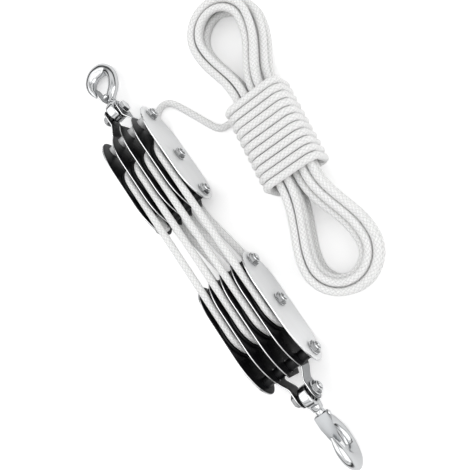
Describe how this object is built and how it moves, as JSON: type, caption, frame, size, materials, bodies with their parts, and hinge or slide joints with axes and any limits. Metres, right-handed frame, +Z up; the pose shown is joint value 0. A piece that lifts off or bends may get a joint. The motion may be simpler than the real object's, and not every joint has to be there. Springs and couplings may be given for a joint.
{
  "type": "block and tackle",
  "caption": "Rope hoist with two multi-sheave plate blocks, swivel safety hooks, a reeved braided rope and a bound hank.",
  "frame": {"origin": "on the floor under the middle of the two blocks and their hooks", "axes": "+X along the sheave axles towards the hank, +Y from the lower block to the upper hook, +Z up"},
  "size_m": [0.1857, 0.432, 0.046],
  "materials": {
    "cheek": "satin zinc-plated sheet",
    "inner_plate": "black gloss coat with bright cut edges",
    "ear_plate": "bright plated sheet, dark between the sheaves",
    "sheave": "moulded black",
    "fastener": "bright plated",
    "hook": "bright plated forging",
    "latch": "bent plated sheet",
    "rope": "white braided cord"
  },
  "bodies": {
    "upper_block": {"upper_cheek_left": "cheek", "upper_plate_2": "ear_plate", "upper_plate_3": "inner_plate", "upper_plate_4": "ear_plate", "upper_cheek_right": "cheek", "upper_hook_end_bolt": "fastener", "upper_hook_end_nut": "fastener", "upper_hook_end_spacer": "fastener", "upper_axle_bolt": "fastener", "upper_axle_nut": "fastener", "upper_axle_sleeve": "fastener", "upper_tail_bolt": "fastener", "upper_tail_nut": "fastener", "upper_tail_spacer": "fastener", "upper_hook_pin": "fastener", "upper_hook_pin_nut": "fastener", "rope_upper_turn_1": "rope", "rope_upper_turn_2": "rope", "rope_upper_turn_3": "rope", "rope_upper_turn_4": "rope", "rope_dead_end": "rope", "rope_lead": "rope", "rope_hank": "rope", "rope_binding": "rope"},
    "lower_block": {"lower_cheek_left": "cheek", "lower_plate_2": "ear_plate", "lower_plate_3": "inner_plate", "lower_plate_4": "ear_plate", "lower_cheek_right": "cheek", "lower_hook_end_bolt": "fastener", "lower_hook_end_nut": "fastener", "lower_hook_end_spacer": "fastener", "lower_axle_bolt": "fastener", "lower_axle_nut": "fastener", "lower_axle_sleeve": "fastener", "lower_tail_bolt": "fastener", "lower_tail_nut": "fastener", "lower_tail_spacer": "fastener", "lower_hook_pin": "fastener", "lower_hook_pin_nut": "fastener", "rope_lower_turn_1": "rope", "rope_lower_turn_2": "rope", "rope_lower_turn_3": "rope", "rope_lower_turn_4": "rope"},
    "upper_sheave_1": {"upper_sheave_1": "sheave"},
    "upper_sheave_2": {"upper_sheave_2": "sheave"},
    "upper_sheave_3": {"upper_sheave_3": "sheave"},
    "upper_sheave_4": {"upper_sheave_4": "sheave"},
    "lower_sheave_1": {"lower_sheave_1": "sheave"},
    "lower_sheave_2": {"lower_sheave_2": "sheave"},
    "lower_sheave_3": {"lower_sheave_3": "sheave"},
    "lower_sheave_4": {"lower_sheave_4": "sheave"},
    "upper_eye": {"upper_hook_eye": "hook"},
    "upper_hook": {"upper_hook": "hook", "upper_latch_rivet": "fastener"},
    "upper_latch": {"upper_hook_latch": "latch"},
    "lower_eye": {"lower_hook_eye": "hook"},
    "lower_hook": {"lower_hook": "hook", "lower_latch_rivet": "fastener"},
    "lower_latch": {"lower_hook_latch": "latch"}
  },
  "joints": [
    {"name": "lower_block_slide", "type": "slide", "parent": "upper_block", "child": "lower_block", "axis": [0, 1, 0], "range_m": [0, 0.045], "deforming": ["rope_lower_turn_1", "rope_lower_turn_2", "rope_lower_turn_3", "rope_lower_turn_4"]},
    {"name": "upper_sheave_1_spin", "type": "hinge", "parent": "upper_block", "child": "upper_sheave_1", "pos_m": [-0.02, 0.07826, 0.023], "axis": [1, 0, 0], "continuous": true},
    {"name": "upper_sheave_2_spin", "type": "hinge", "parent": "upper_block", "child": "upper_sheave_2", "pos_m": [-0.0074, 0.07826, 0.023], "axis": [1, 0, 0], "continuous": true},
    {"name": "upper_sheave_3_spin", "type": "hinge", "parent": "upper_block", "child": "upper_sheave_3", "pos_m": [0.0052, 0.07826, 0.023], "axis": [1, 0, 0], "continuous": true},
    {"name": "upper_sheave_4_spin", "type": "hinge", "parent": "upper_block", "child": "upper_sheave_4", "pos_m": [0.0178, 0.07826, 0.023], "axis": [1, 0, 0], "continuous": true},
    {"name": "lower_sheave_1_spin", "type": "hinge", "parent": "lower_block", "child": "lower_sheave_1", "pos_m": [-0.02, -0.07574, 0.023], "axis": [1, 0, 0], "continuous": true},
    {"name": "lower_sheave_2_spin", "type": "hinge", "parent": "lower_block", "child": "lower_sheave_2", "pos_m": [-0.0074, -0.07574, 0.023], "axis": [1, 0, 0], "continuous": true},
    {"name": "lower_sheave_3_spin", "type": "hinge", "parent": "lower_block", "child": "lower_sheave_3", "pos_m": [0.0052, -0.07574, 0.023], "axis": [1, 0, 0], "continuous": true},
    {"name": "lower_sheave_4_spin", "type": "hinge", "parent": "lower_block", "child": "lower_sheave_4", "pos_m": [0.0178, -0.07574, 0.023], "axis": [1, 0, 0], "continuous": true},
    {"name": "upper_eye_swing", "type": "hinge", "parent": "upper_block", "child": "upper_eye", "pos_m": [-0.0011, 0.15026, 0.023], "axis": [1, 0, 0], "range_deg": [-60, 60]},
    {"name": "upper_hook_swivel", "type": "hinge", "parent": "upper_eye", "child": "upper_hook", "pos_m": [-0.0011, 0.15026, 0.023], "axis": [0, 0.9572, -0.2893], "continuous": true},
    {"name": "upper_latch_swing", "type": "hinge", "parent": "upper_hook", "child": "upper_latch", "pos_m": [-0.0017, 0.17037, 0.01692], "axis": [0, -0.2893, -0.9572], "range_deg": [0, 35], "stiffness_Nm_per_rad": 0.02, "springref_deg": -11.46},
    {"name": "lower_eye_swing", "type": "hinge", "parent": "lower_block", "child": "lower_eye", "pos_m": [-0.0011, -0.14774, 0.023], "axis": [1, 0, 0], "range_deg": [-60, 60]},
    {"name": "lower_hook_swivel", "type": "hinge", "parent": "lower_eye", "child": "lower_hook", "pos_m": [-0.0011, -0.14774, 0.023], "axis": [0, -0.9917, -0.1289], "continuous": true},
    {"name": "lower_latch_swing", "type": "hinge", "parent": "lower_hook", "child": "lower_latch", "pos_m": [-0.0011, -0.16864, 0.02089], "axis": [1, 0, 0], "range_deg": [0, 35], "stiffness_Nm_per_rad": 0.02, "springref_deg": -11.46}
  ],
  "couplings": [
    {"joint": "upper_sheave_1_spin", "follows": "lower_block_slide", "rad_per_m": -111.11},
    {"joint": "upper_sheave_2_spin", "follows": "lower_block_slide", "rad_per_m": -222.22},
    {"joint": "upper_sheave_3_spin", "follows": "lower_block_slide", "rad_per_m": -333.33},
    {"joint": "upper_sheave_4_spin", "follows": "lower_block_slide", "rad_per_m": -444.44},
    {"joint": "lower_sheave_1_spin", "follows": "lower_block_slide", "rad_per_m": -55.556},
    {"joint": "lower_sheave_2_spin", "follows": "lower_block_slide", "rad_per_m": -166.67},
    {"joint": "lower_sheave_3_spin", "follows": "lower_block_slide", "rad_per_m": -277.78},
    {"joint": "lower_sheave_4_spin", "follows": "lower_block_slide", "rad_per_m": -388.89}
  ]
}
